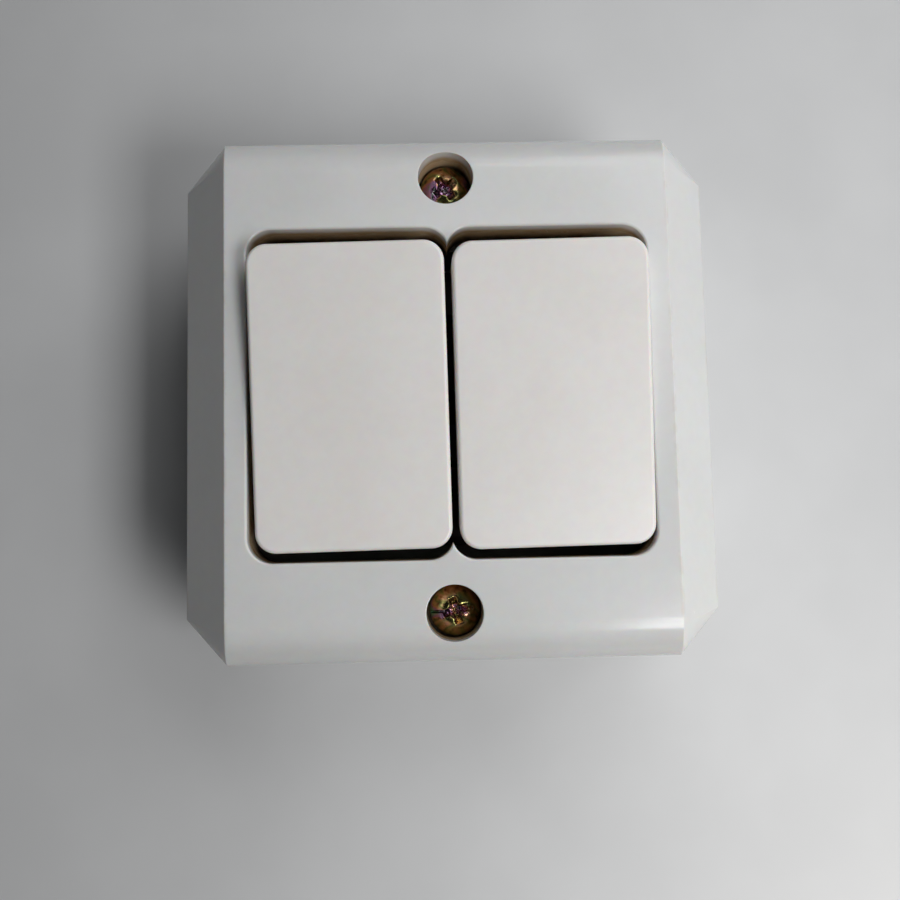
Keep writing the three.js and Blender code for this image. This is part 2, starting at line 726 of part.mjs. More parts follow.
const coverWhite = finish(0xd9dcdb, 0.32, 0);
const rockerWhite = finish(0xe2ddda, 0.38, 0);
const baseGrey = finish(0xc9c8c2, 0.6, 0);
const blockBrown = finish(0x3a3029, 0.6, 0);
const yellowZinc = finish(0xb49a55, 0.35, 1);
const brass = finish(0xc9a24a, 0.4, 1);
const silver = finish(0xc8c8c4, 0.3, 1);
const springSteel = finish(0x9b9ea3, 0.3, 1);
const nylon = finish(0xeeeae0, 0.5, 0);

// ---- assembly -----------------------------------------------------------------------------

const group = new THREE.Group();

function addPiece(parent, name, geometry, material, x = 0, y = 0, z = 0) {
  const mesh = new THREE.Mesh(geometry, material());
  mesh.name = name;
  mesh.position.set(x, y, z);
  parent.add(mesh);
}

function addTurned(x, z, angle) {
  const holder = new THREE.Group();
  holder.position.set(x, 0, z);
  holder.rotation.x = angle;
  group.add(holder);
  return holder;
}

addPiece(group, 'base', base(), baseGrey);
addPiece(group, 'contact_block', contactBlock(), blockBrown);
addPiece(group, 'cover', cover(), coverWhite);

for (const [end, side] of [['top', 1], ['bottom', -1]]) {
  const y = side * SCREW_Y;
  addPiece(group, `cover_screw_${end}`, coverScrew(), yellowZinc, 0, y, SCREW_SEAT_Z + SEAT_GAP);
  addPiece(group, `cover_nut_${end}`, squareNut(), brass, 0, y, NUT_Z);
  addPiece(
    group, `block_screw_${end}`, blockScrew(), yellowZinc,
    MECH_X, side * BLOCK_SCREW_Y, BLOCK_SCREW_SEAT_Z + SEAT_GAP,
  );
}

const terminalY = (TERMINAL_Y0 + TERMINAL_Y1) / 2;
addPiece(group, 'common_strip', commonStrip(), brass);
addPiece(group, 'common_terminal', terminal(), brass, GANGS[0].x, terminalY);
addPiece(group, 'common_terminal_screw', terminalScrew(), yellowZinc, GANGS[0].x, terminalY);

for (const { side, x } of GANGS) {
  const closedTipY = TIP_Y * Math.cos(SEESAW_TILT);
  const closedTipZ = SEESAW_Z - TIP_Y * Math.sin(SEESAW_TILT) + (SEESAW_UNDER - TIP_H);
  const stripTop = STRIP_Z + STRIP_T;
  const fixedTip = toGeometry(contactTip(closedTipZ - 2 * SEAT_GAP - stripTop - SEAT_GAP));
  addPiece(group, `switched_strip_${side}`, switchedStrip(), brass, x);
  addPiece(group, `fixed_contact_${side}`, fixedTip, silver, x, -closedTipY, stripTop + SEAT_GAP);
  addPiece(group, `switched_terminal_${side}`, terminal(), brass, x, -terminalY);
  addPiece(group, `switched_terminal_screw_${side}`, terminalScrew(), yellowZinc, x, -terminalY);

  const swing = addTurned(x, PIVOT_Z, ROCKER_TILT);
  addPiece(swing, `rocker_${side}`, rocker(), rockerWhite);
  addPiece(swing, `plunger_${side}`, plunger(), nylon);
  addPiece(swing, `spring_${side}`, spring(), springSteel);

  const tilt = addTurned(x, SEESAW_Z, -SEESAW_TILT);
  const movingTip = toGeometry(contactTip(TIP_H - SEAT_GAP));
  movingTip.rotateX(Math.PI);
  addPiece(tilt, `seesaw_${side}`, seesaw(), brass);
  addPiece(
    tilt, `moving_contact_${side}`, movingTip, silver,
    0, -TIP_Y, SEESAW_UNDER - SEAT_GAP,
  );
}

export default group;
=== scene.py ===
import json
import math

import bmesh
import bpy
import numpy as np
from mathutils import Matrix, Vector


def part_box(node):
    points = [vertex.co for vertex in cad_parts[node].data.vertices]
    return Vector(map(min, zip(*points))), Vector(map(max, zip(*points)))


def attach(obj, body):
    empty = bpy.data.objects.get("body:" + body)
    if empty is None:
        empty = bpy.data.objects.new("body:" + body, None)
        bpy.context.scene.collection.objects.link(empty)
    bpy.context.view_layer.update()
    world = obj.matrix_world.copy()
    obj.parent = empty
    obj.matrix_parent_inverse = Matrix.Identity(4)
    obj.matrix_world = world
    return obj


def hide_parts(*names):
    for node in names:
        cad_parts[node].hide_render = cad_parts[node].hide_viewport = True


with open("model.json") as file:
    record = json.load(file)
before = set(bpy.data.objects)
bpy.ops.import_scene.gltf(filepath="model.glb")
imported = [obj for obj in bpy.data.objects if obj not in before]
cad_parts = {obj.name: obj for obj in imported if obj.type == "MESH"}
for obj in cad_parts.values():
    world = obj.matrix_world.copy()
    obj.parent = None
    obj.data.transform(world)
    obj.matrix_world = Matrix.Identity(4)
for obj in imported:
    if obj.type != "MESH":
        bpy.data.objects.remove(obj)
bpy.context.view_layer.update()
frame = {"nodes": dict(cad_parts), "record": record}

MM = 0.001
SCENE = bpy.context.scene

# ---- sizes, in millimetres ----------------------------------------------------------------
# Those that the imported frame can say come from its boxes.

cover_lo, cover_hi = (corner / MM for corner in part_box("cover"))
FRONT_Z = cover_hi.z
COVER_BOTTOM_Z = cover_lo.z
HALF_W = cover_hi.x
HALF_H = cover_hi.y

RIM_DROP = 6
FRONT_HALF_W = 28.2
ROLL_START = 28.6
CORNER_X = 29.1
CORNER_Y = 28.2
ROLL_STEPS = 28
EDGE_R = 0.28
WALL = 2.2
FRONT_WALL = 2.4
INSET = 0.9

OPENING_HALF_W = 25.45
OPENING_HALF_H = 21.05
LOBE_OVERLAP = 0.2
LOBE_R = 3.2
LIP_R = 0.3
LIP_STEPS = 8
COLLAR_WALL = 1.4
COLLAR_DEPTH = 6

SCREW_Y = 27.6
SCREW_HOLE_R = 3.52
SCREW_SEAT_Z = 24
SCREW_CLEARANCE_R = 2
SCREW_BOSS_R = 5
SCREW_BOSS_BOTTOM_Z = 20.4
HOLE_EDGE_R = 0.12

SCREW_HEAD_R = 3.3
SCREW_HEAD_H = 2.3
SCREW_SHANK_R = 1.7
SCREW_LENGTH = 15
SCREW_THREAD_PITCH = 0.7
SCREW_THREAD_DEPTH = 0.22
SCREW_HEAD_LIFT = 0.05
SCREW_VOXEL = 0.085

PIVOT_Z = 24
ROCKER_TILT = math.radians(5.75)
FACE_ABOVE_PIVOT = 7.72
ROCKER_SKIRT_BOTTOM = -0.5
ROCKER_FACE_T = 2
ROCKER_WALL = 1.5
ROCKER_W = 24.45
ROCKER_H = 38.2
ROCKER_CORNER_R = 2.6
ROCKER_EDGE_R = 0.5
GANG_X = {"left": -12.48, "right": 12.92}
ROCKER_SKEW = math.radians(0.7)
# The parts under a rocker's face, measured from its pivot.
STEM_R = 2.6
STEM_BOTTOM = -9
BORE_R = 1.6
BORE_TOP = -2
TRUNNION_R = 1.5
TRUNNION_HALF_L = 7
WEB_HALF_W = 4.7
RIB_HALF_L = 18.5
RIB_H = 1.6
WEB_HALF_T = 0.8


# ---- mesh helpers -------------------------------------------------------------------------

def new_object(name, mesh):
    obj = bpy.data.objects.new(name, mesh)
    SCENE.collection.objects.link(obj)
    return obj


def from_bmesh(name, bm):
    bmesh.ops.recalc_face_normals(bm, faces=bm.faces)
    mesh = bpy.data.meshes.new(name)
    bm.to_mesh(mesh)
    bm.free()
    return new_object(name, mesh)


def hull(name, points):
    bm = bmesh.new()
    for p in points:
        bm.verts.new(Vector(p) * MM)
    made = bmesh.ops.convex_hull(bm, input=bm.verts)
    bmesh.ops.delete(
        bm,
        geom=[g for g in made["geom_interior"] if isinstance(g, bmesh.types.BMVert)],
        context="VERTS",
    )
    bmesh.ops.dissolve_limit(
        bm, angle_limit=math.radians(0.2), verts=bm.verts, edges=bm.edges
    )
    return from_bmesh(name, bm)


def loft(name, loops):
    """A closed solid skinned over loops of equally many points, flat at both ends."""
    bm = bmesh.new()
    rows = [[bm.verts.new(Vector(p) * MM) for p in loop] for loop in loops]
    count = len(rows[0])
    for low, high in zip(rows, rows[1:]):
        for i in range(count):
            j = (i + 1) % count
            bm.faces.new((low[i], low[j], high[j], high[i]))
    bm.faces.new(rows[0][::-1])
    bm.faces.new(rows[-1])
    return from_bmesh(name, bm)


def lathe(name, profile, segments=64, centre=(0, 0, 0), wobble=None):
    """A turned solid on the Z axis; the profile holds (radius, z) pairs, axis points left out."""
    cx, cy, cz = centre
    loops = []
    for r, z in profile:
        loop = []
        for i in range(segments):
            angle = i / segments * math.tau
            radius = wobble(r, z, angle) if wobble else r
            loop.append((cx + radius * math.cos(angle), cy + radius * math.sin(angle), cz + z))
        loops.append(loop)
    return loft(name, loops)


def box(name, x0, x1, y0, y1, z0, z1):
    return hull(name, [(x, y, z) for x in (x0, x1) for y in (y0, y1) for z in (z0, z1)])


def settle(obj):
    """Makes what the modifiers show the object's own mesh."""
    depsgraph = bpy.context.evaluated_depsgraph_get()
    mesh = bpy.data.meshes.new_from_object(obj.evaluated_get(depsgraph))
    old = obj.data
    obj.modifiers.clear()
    obj.data = mesh
    bpy.data.meshes.remove(old)


def combine(obj, others, operation):
    for other in others:
        modifier = obj.modifiers.new("combine", "BOOLEAN")
        modifier.operation = operation
        modifier.solver = "EXACT"
        modifier.object = other
    settle(obj)
    for other in others:
        mesh = other.data
        bpy.data.objects.remove(other)
        bpy.data.meshes.remove(mesh)


def soften(obj, angle=32):
    """Smooth shading that keeps flats flat and edges sharper than the angle sharp."""
    mesh = obj.data
    bm = bmesh.new()
    bm.from_mesh(mesh)
    bmesh.ops.remove_doubles(bm, verts=bm.verts, dist=2e-7)
    bmesh.ops.dissolve_degenerate(bm, edges=bm.edges, dist=1e-7)
    bm.to_mesh(mesh)
    bm.free()
    mesh.shade_smooth()
    mesh.set_sharp_from_angle(angle=math.radians(angle))
    modifier = obj.modifiers.new("flats", "WEIGHTED_NORMAL")
    modifier.mode = "FACE_AREA"
    modifier.weight = 80
    modifier.keep_sharp = True


def rounded_rectangle(half_w, half_h, r, steps=10):
    points = []
    for quarter in range(4):
        sx = 1 if quarter in (0, 3) else -1
        sy = 1 if quarter in (0, 1) else -1
        for i in range(steps + 1):
            angle = (quarter + i / steps) * math.pi / 2
            x = sx * (half_w - r) + r * math.cos(angle)
            y = sy * (half_h - r) + r * math.sin(angle)
            points.append((x, y))
    return points


# ---- cover --------------------------------------------------------------------------------

def ball(centre, r, rings=7, around=14):
    points = []
    for i in range(rings + 1):
        polar = math.pi * i / rings
        for j in range(around if 0 < i < rings else 1):
            turn = math.tau * j / around
            points.append((
                centre[0] + r * math.sin(polar) * math.cos(turn),
                centre[1] + r * math.sin(polar) * math.sin(turn),
                centre[2] + r * math.cos(polar),
            ))
    return points


def face_normal(a, b, c):
    n = (Vector(b) - Vector(a)).cross(Vector(c) - Vector(a)).normalized()
    return n if n.x + n.y + n.z > 0 else -n


def step_in(point, normals, r):
    """The point at depth r under each of the planes through the given one."""
    a = np.array([tuple(n) for n in normals])
    shift, *_ = np.linalg.lstsq(a, np.full(len(normals), -r), rcond=None)
    return Vector(point) + Vector(shift)


def cover_outside():
    """Flat front, a bevel down each side, rolled top and bottom edges, four cut corners."""
    rim_z = FRONT_Z - RIM_DROP
    roll = []
    for i in range(ROLL_STEPS + 1):
        angle = i / ROLL_STEPS * math.pi / 2
        drop = 1 - math.cos(angle)
        roll.append(Vector((
            FRONT_HALF_W + (CORNER_X - FRONT_HALF_W) * drop,
            ROLL_START + (HALF_H - ROLL_START) * math.sin(angle),
            FRONT_Z - RIM_DROP * drop,
        )))
    corner = Vector((HALF_W, CORNER_Y, rim_z))
    across = Vector((1, 0, 0))
    along = Vector((0, 1, 0))
    up = Vector((0, 0, 1))
    cut = Vector((HALF_H - CORNER_Y, HALF_W - CORNER_X, 0)).normalized()
    bevel = Vector((RIM_DROP, 0, HALF_W - FRONT_HALF_W)).normalized()
    centres = []
    for i, p in enumerate(roll):
        before = roll[max(i - 1, 0)]
        after = roll[min(i + 1, ROLL_STEPS)]
        tangent = after - before
        on_roll = Vector((0, -tangent.z, tangent.y)).normalized()
        if i == 0:
            normals = [up, bevel]
        elif i == ROLL_STEPS:
            normals = [along, cut]
        else:
            normals = [on_roll, face_normal(before, after, corner)]
        centres.append(step_in(p, normals, EDGE_R))
    centres.append(step_in(corner, [across, cut, bevel], EDGE_R))
    low = COVER_BOTTOM_Z
    centres.append(step_in((CORNER_X, HALF_H, low), [along, cut, -up], EDGE_R))
    centres.append(step_in((HALF_W, CORNER_Y, low), [across, cut, -up], EDGE_R))
    points = []
    for centre in centres:
        for sx in (-1, 1):
            for sy in (-1, 1):
                points += ball((sx * centre.x, sy * centre.y, centre.z), EDGE_R)
    return hull("cover_shell", points)


def cover_inside():
    front = FRONT_Z - FRONT_WALL
    rim_z = front - RIM_DROP
    bottom = COVER_BOTTOM_Z - 1
    half_w, half_h = HALF_W - WALL, HALF_H - WALL
    corner_x, corner_y = CORNER_X - INSET, CORNER_Y - INSET
    start = ROLL_START - INSET
    points = []
    for sx in (-1, 1):
        for sy in (-1, 1):
            for i in range(9):
                angle = i / 8 * math.pi / 2
                drop = 1 - math.cos(angle)
                x = FRONT_HALF_W - INSET + (CORNER_X - FRONT_HALF_W) * drop
                y = start + (half_h - start) * math.sin(angle)
                points.append((sx * x, sy * y, front - RIM_DROP * drop))
            for z in (rim_z, bottom):
                points.append((sx * corner_x, sy * half_h, z))
                points.append((sx * half_w, sy * corner_y, z))
    return hull("inside", points)


def lobe(side, grow, z):
    half_w = (OPENING_HALF_W + LOBE_OVERLAP) / 2
    centre = side * (OPENING_HALF_W - LOBE_OVERLAP) / 2
    outline = rounded_rectangle(half_w + grow, OPENING_HALF_H + grow, LOBE_R + grow, 12)
    return [(x + centre, y, z) for x, y in outline]


def opening_cutter(side):
    start = FRONT_Z - LIP_R
    loops = [lobe(side, 0, FRONT_Z - COLLAR_DEPTH - 1), lobe(side, 0, start)]
    for i in range(1, LIP_STEPS + 1):
        angle = i / LIP_STEPS * math.pi / 2
        grow = LIP_R * (1 - math.cos(angle))
        loops.append(lobe(side, grow, start + LIP_R * math.sin(angle)))
    loops.append(lobe(side, LIP_R + 0.05, FRONT_Z + 0.1))
    return loft("opening", loops)


def screw_hole(side):
    top = FRONT_Z - HOLE_EDGE_R
    profile = [(SCREW_CLEARANCE_R, COVER_BOTTOM_Z), (SCREW_CLEARANCE_R, SCREW_SEAT_Z)]
    profile += [(SCREW_HOLE_R, SCREW_SEAT_Z), (SCREW_HOLE_R, top)]
    for i in range(1, 6):
        angle = i / 5 * math.pi / 2
        grow = HOLE_EDGE_R * (1 - math.cos(angle))
        profile.append((SCREW_HOLE_R + grow, top + HOLE_EDGE_R * math.sin(angle)))
    profile.append((SCREW_HOLE_R + HOLE_EDGE_R + 0.05, FRONT_Z + 0.1))
    return lathe("hole", profile, 72, (0, side * SCREW_Y, 0))


def screw_boss(side):
    profile = [(SCREW_BOSS_R, SCREW_BOSS_BOTTOM_Z), (SCREW_BOSS_R, FRONT_Z - 0.6)]
    return lathe("boss", profile, 48, (0, side * SCREW_Y, 0))


def collar(side):
    loops = [lobe(side, COLLAR_WALL, z) for z in (FRONT_Z - COLLAR_DEPTH, FRONT_Z - 1)]
    return loft("collar", loops)


def build_cover():
    shell = cover_outside()
    extras = [collar(-1), collar(1), screw_boss(-1), screw_boss(1)]
    inside = cover_inside()
    combine(inside, extras, "DIFFERENCE")
    combine(shell, [inside], "DIFFERENCE")
    cutters = [opening_cutter(-1), opening_cutter(1), screw_hole(-1), screw_hole(1)]
    combine(shell, cutters, "DIFFERENCE")
    soften(shell)
    return shell


# ---- rockers ------------------------------------------------------------------------------

def build_rocker(side):
    r = ROCKER_EDGE_R

    def ring(inset, z):
        corner = max(ROCKER_CORNER_R - inset, 0.2)
        outline = rounded_rectangle(ROCKER_W / 2 - inset, ROCKER_H / 2 - inset, corner, 12)
        return [(x, y, z) for x, y in outline]

    top = FACE_ABOVE_PIVOT
    loops = [ring(0.15, ROCKER_SKIRT_BOTTOM), ring(0, ROCKER_SKIRT_BOTTOM + 0.15)]
    for i in range(9):
        angle = i / 8 * math.pi / 2
        loops.append(ring(r * (1 - math.cos(angle)), top - r + r * math.sin(angle)))
    cap = loft("rocker_cap_" + side, loops)

    ceiling = top - ROCKER_FACE_T
    hollow = loft("hollow", [
        [(x, y, z) for x, y in rounded_rectangle(
            ROCKER_W / 2 - ROCKER_WALL, ROCKER_H / 2 - ROCKER_WALL,
            ROCKER_CORNER_R - ROCKER_WALL, 6)]
        for z in (ROCKER_SKIRT_BOTTOM - 1, ceiling)
    ])
    combine(cap, [hollow], "DIFFERENCE")
    # The cap sits askew; the stem and trunnions below it stay square in their bearings.
    cap.data.transform(Matrix.Rotation(ROCKER_SKEW, 4, "Z"))
    inside_face = ceiling + 0.5
    chamfer = 0.15
    stem = lathe("stem", [
        (STEM_R - chamfer, STEM_BOTTOM), (STEM_R, STEM_BOTTOM + chamfer), (STEM_R, inside_face),
    ], 48)
    web = box("web", -WEB_HALF_W, WEB_HALF_W, -WEB_HALF_T, WEB_HALF_T, 0, inside_face)
    rib = box("rib", -WEB_HALF_T, WEB_HALF_T, -RIB_HALF_L, RIB_HALF_L, ceiling - RIB_H, inside_face)
    trunnion = lathe("trunnion", [
        (TRUNNION_R - chamfer, -TRUNNION_HALF_L), (TRUNNION_R, -TRUNNION_HALF_L + chamfer),
        (TRUNNION_R, TRUNNION_HALF_L - chamfer), (TRUNNION_R - chamfer, TRUNNION_HALF_L),
    ], 40)
    trunnion.data.transform(Matrix.Rotation(math.pi / 2, 4, "Y"))
    combine(cap, [web, rib, stem, trunnion], "UNION")
    bore = lathe("bore", [(BORE_R, STEM_BOTTOM - 1), (BORE_R, BORE_TOP)], 40)
    combine(cap, [bore], "DIFFERENCE")
    place = Matrix.Translation(Vector((GANG_X[side], 0, PIVOT_Z)) * MM)
    cap.data.transform(place @ Matrix.Rotation(ROCKER_TILT, 4, "X"))
    soften(cap)
    return cap


# ---- screws -------------------------------------------------------------------------------

def thread(pitch, depth):
    def wobble(r, z, angle):
        phase = (z / pitch - angle / math.tau) % 1
        return r - depth * abs(2 * phase - 1) ** 1.3
    return wobble


def threaded_shank(name, r, z0, z1, pitch, depth):
    steps = int((z1 - z0) / pitch * 8)
    profile = [(r * 0.72, z0)]
    for i in range(1, steps + 1):
        z = z0 + (z1 - z0) * i / steps
        taper = min(1, 0.75 + 0.25 * (z - z0) / (1.2 * pitch))
        profile.append((r * taper, z))
    return lathe(name, profile, 40, wobble=thread(pitch, depth))


def cross_recess(top, reach, half_w, depth, turn):
    blades = []
    for k in range(2):
        points = []
        for length, width, z in (
            (reach * 1.04, half_w, top + 0.6),
            (reach, half_w * 0.95, top - 0.1),
            (reach * 0.4, half_w * 0.62, top - depth),
        ):
            points += [(sx * length, sy * width, z) for sx in (-1, 1) for sy in (-1, 1)]
        blade = hull("blade", points)
        blade.data.transform(Matrix.Rotation(turn + k * math.pi / 2, 4, "Z"))
        blades.append(blade)
    cone = [(0.16 * reach, top - depth * 1.12), (half_w * 2.0, top), (half_w * 2.4, top + 0.6)]
    blades.append(lathe("cone", cone, 24))
    return blades


def slip_mark(head_r, head_h, angle):
    """The groove a slipping screwdriver leaves, from the recess out over the rim."""
    points = []
    inner = (0.3 * head_r, 0.3, head_h * 0.8)
    outer = (1.03 * head_r, 0.16, head_h * 0.3)
    for length, width, z in (inner, outer):
        points += [(length, sy * width * 0.4, z) for sy in (-1, 1)]
        points += [(length, sy * width, z + 1.6) for sy in (-1, 1)]
    mark = hull("mark", points)
    mark.data.transform(Matrix.Rotation(angle, 4, "Z"))
    return mark


def screw_head(name, turn, slips, seed):
    """A domed pan head with a worn cross recess, standing on z = 0."""
    head_r, head_h = SCREW_HEAD_R, SCREW_HEAD_H
    rim = head_h * 0.3
    profile = [(head_r - 0.18, 0), (head_r - 0.04, 0.06), (head_r, 0.2), (head_r, rim)]
    steps = 15
    for i in range(1, steps):
        angle = i / steps * math.pi / 2
        profile.append((head_r * math.cos(angle) ** 0.8, rim + (head_h - rim) * math.sin(angle)))
    head = lathe(name, profile, 72)
    cutters = cross_recess(head_h, head_r * 0.54, head_r * 0.16, head_h * 0.66, turn)
    cutters += [slip_mark(head_r, head_h, angle) for angle in slips]
    combine(head, cutters, "DIFFERENCE")
    remesh = head.modifiers.new("remesh", "REMESH")
    remesh.mode = "VOXEL"
    remesh.voxel_size = SCREW_VOXEL * MM
    remesh.adaptivity = 0
    smooth = head.modifiers.new("smooth", "SMOOTH")
    smooth.factor = 0.5
    smooth.iterations = 3
    settle(head)
    rng = np.random.default_rng(seed)
    dents = []
    for arm in range(4):
        for _ in range(3):
            angle = turn + arm * math.pi / 2 + rng.uniform(-0.42, 0.42)
            radius = head_r * rng.uniform(0.2, 0.6)
            dents.append((
                radius * math.cos(angle), radius * math.sin(angle),
                rng.uniform(0.18, 0.4), rng.uniform(0.05, 0.16),
            ))
    for v in head.data.vertices:
        x, y, z = v.co / MM
        if z > head_h * 0.55:
            push = sum(
                deep * math.exp(-((x - dx) ** 2 + (y - dy) ** 2) / (wide * wide))
                for dx, dy, wide, deep in dents
            )
            v.co.z -= min(push, 0.22) * MM
    return head


def build_screw(name, turn, slips, at, seed):
    head = screw_head(name, turn, slips, seed)
    shank = threaded_shank(
        "shank", SCREW_SHANK_R, -SCREW_LENGTH, 0.3, SCREW_THREAD_PITCH, SCREW_THREAD_DEPTH)
    combine(head, [shank], "UNION")
    head.data.transform(Matrix.Translation(Vector(at) * MM))
    soften(head, 40)
    return head


# ---- node materials -----------------------------------------------------------------------

class Shader:
    """A material's nodes, with one short call for each kind."""

    def __init__(self, name):
        self.material = bpy.data.materials.new(name)
        self.material.use_nodes = True
        self.tree = self.material.node_tree
        self.tree.nodes.clear()
        self.out = self.tree.nodes.new("ShaderNodeOutputMaterial")
        self.surface = self.tree.nodes.new("ShaderNodeBsdfPrincipled")
        self.link(self.surface.outputs[0], self.out.inputs[0])
        self.where = self.tree.nodes.new("ShaderNodeTexCoord").outputs["Object"]

    def link(self, source, socket):
        if isinstance(source, bpy.types.NodeSocket):
            self.tree.links.new(source, socket)
        else:
            socket.default_value = source

    def noise(self, scale, detail=3.0, rough=0.55, stretch=None, distortion=0.0):
        node = self.tree.nodes.new("ShaderNodeTexNoise")
        node.inputs["Scale"].default_value = scale
        node.inputs["Detail"].default_value = detail
        node.inputs["Roughness"].default_value = rough
        node.inputs["Distortion"].default_value = distortion
        self.link(self.stretched(stretch) if stretch else self.where, node.inputs["Vector"])
        return node.outputs["Fac"]

    def cells(self, scale, feature="F1", stretch=None):
        node = self.tree.nodes.new("ShaderNodeTexVoronoi")
        node.feature = feature
        node.inputs["Scale"].default_value = scale
        self.link(self.stretched(stretch) if stretch else self.where, node.inputs["Vector"])
        return node.outputs["Distance"]

    def stretched(self, factors):
        node = self.tree.nodes.new("ShaderNodeMapping")
        node.inputs["Scale"].default_value = factors
        self.link(self.where, node.inputs["Vector"])
        return node.outputs[0]

    def math(self, operation, a, b=0.0, c=0.0, clamp=False):
        node = self.tree.nodes.new("ShaderNodeMath")
        node.operation = operation
        node.use_clamp = clamp
        for socket, value in zip(node.inputs, (a, b, c)):
            self.link(value, socket)
        return node.outputs[0]

    def span(self, value, low, high, to_low=0.0, to_high=1.0):
        node = self.tree.nodes.new("ShaderNodeMapRange")
        node.interpolation_type = "SMOOTHSTEP"
        for key, v in (
            ("Value", value), ("From Min", low), ("From Max", high),
            ("To Min", to_low), ("To Max", to_high),
        ):
            self.link(v, node.inputs[key])
        return node.outputs[0]

    def axes(self):
        node = self.tree.nodes.new("ShaderNodeSeparateXYZ")
        self.link(self.where, node.inputs[0])
        return node.outputs

    def mix(self, fac, a, b):
        node = self.tree.nodes.new("ShaderNodeMix")
        node.data_type = "RGBA"
        self.link(fac, node.inputs["Factor"])
        self.link(a, node.inputs["A"])
        self.link(b, node.inputs["B"])
        return [o for o in node.outputs if o.type == "RGBA"][0]

    def bump(self, height, strength, distance, normal=None):
        node = self.tree.nodes.new("ShaderNodeBump")
        node.inputs["Strength"].default_value = strength
        node.inputs["Distance"].default_value = distance
        self.link(height, node.inputs["Height"])
        if normal is not None:
            self.link(normal, node.inputs["Normal"])
        return node.outputs[0]

    def set(self, **values):
        for key, value in values.items():
            self.link(value, self.surface.inputs[key.replace("_", " ")])
        return self.material


def linear(r, g, b):
    """A colour given as 0-255 display values."""
    def one(c):
        c /= 255
        return c / 12.92 if c <= 0.04045 else ((c + 0.055) / 1.055) ** 2.4
    return (one(r), one(g), one(b), 1.0)


def plastic(name, light, dark, rough, peel=0.08, specks=0.0, dirt_and_shade=None, wear=None, bleed=0.0):
    """Moulded plastic. Of the two mask functions, the first says how far dirt and painted shade
    darken a point, the second how far an edge is rubbed, both from 0 to 1; bleed is how far light
    travels inside, in metres. A clean surface's roughness, rough - 0.03 to rough + 0.05, stays on
    one
    side of 0.27: where it crosses that, the denoiser leaves thin lines."""
    s = Shader(name)
    cloud = s.span(s.noise(55, 4, 0.5), 0.35, 0.65)
    mottle = s.span(s.noise(700, 2, 0.5), 0.3, 0.7)
    color = s.mix(s.math("MULTIPLY_ADD", cloud, 0.7, s.math("MULTIPLY", mottle, 0.3)), light, dark)
    roughness = s.span(s.noise(160, 4, 0.55), 0.25, 0.75, rough - 0.03, rough + 0.05)
    edge = s.cells(70, "DISTANCE_TO_EDGE", stretch=(1, 0.18, 1))
    line = s.span(edge, 0.0, 0.006, 1.0, 0.0)
    scratches = s.math("MULTIPLY", line, s.span(s.noise(130, 2, 0.4), 0.6, 0.7))
    roughness = s.math("MULTIPLY_ADD", scratches, 0.08, roughness)
    if specks:
        dot = s.span(s.cells(230), 0.02, 0.035, 1.0, 0.0)
        pick = s.span(s.noise(90, 1, 0.3), 0.66, 0.7)
        seen = s.math("MULTIPLY", dot, s.math("MULTIPLY", pick, specks))
        color = s.mix(seen, color, linear(95, 85, 75))
    if wear:
        rubbed = s.math("MULTIPLY", wear(s), s.span(s.noise(420, 5, 0.65), 0.46, 0.62))
        color = s.mix(s.math("MULTIPLY", rubbed, 0.3), color, linear(206, 200, 190))
        roughness = s.math("MULTIPLY_ADD", rubbed, 0.06, roughness)
    # Dirt and painted shade: a light brown stain first, then near black where the mask is high,
    # deep in walls that lie in shade.
    if dirt_and_shade:
        patchy = s.span(s.noise(260, 4, 0.6), 0.2, 0.8, 0.75, 1.15)
        amount = s.math("MULTIPLY", dirt_and_shade(s), patchy, clamp=True)
        stain_and_shade_tint = s.mix(s.span(amount, 0.0, 0.2), color, linear(184, 160, 128))
        color = s.mix(s.span(amount, 0.4, 1.0), stain_and_shade_tint, linear(30, 20, 12))
        roughness = s.math("MULTIPLY_ADD", amount, 0.3, roughness)
    fine = s.bump(s.noise(4000, 2, 0.5), peel, 0.00002)
    wave = s.bump(s.noise(1500, 2, 0.5), peel, 0.00005, fine)
    normal = s.bump(scratches, -0.12, 0.00001, wave)
    if bleed:
        s.set(Subsurface_Weight=0.6, Subsurface_Radius=(1.0, 0.55, 0.3), Subsurface_Scale=bleed)
    return s.set(Base_Color=color, Roughness=roughness, Normal=normal)


def band(s, value, middle, half_width):
    """1 within half_width of the middle, both in millimetres, fading to 0 at three times that."""
    off = s.math("ABSOLUTE", s.math("SUBTRACT", value, middle * MM))
    return s.span(off, half_width * MM, 3 * half_width * MM, 1.0, 0.0)


def cover_wear(s):
    """Along the front's two long edges and the bevels' lower edges."""
    x, _, z = s.axes()
    out = s.math("ABSOLUTE", x)
    front = s.math("MULTIPLY", band(s, out, FRONT_HALF_W, 0.15), band(s, z, FRONT_Z, 0.2))
    rim = s.math("MULTIPLY", band(s, out, HALF_W, 0.15), band(s, z, FRONT_Z - RIM_DROP, 0.2))
    return s.math("MAXIMUM", front, rim)


def rocker_height(s):
    """How far a point stands above the pivot, square to the rocker's face."""
    _, y, z = s.axes()
    raised = s.math("SUBTRACT", z, PIVOT_Z * MM)
    return s.math(
        "MULTIPLY_ADD", y, -math.sin(ROCKER_TILT),
        s.math("MULTIPLY", raised, math.cos(ROCKER_TILT)))


def rocker_wear(s):
    """Round the face's rounded border."""
    return band(s, rocker_height(s), FACE_ABOVE_PIVOT - ROCKER_EDGE_R / 2, 0.08)


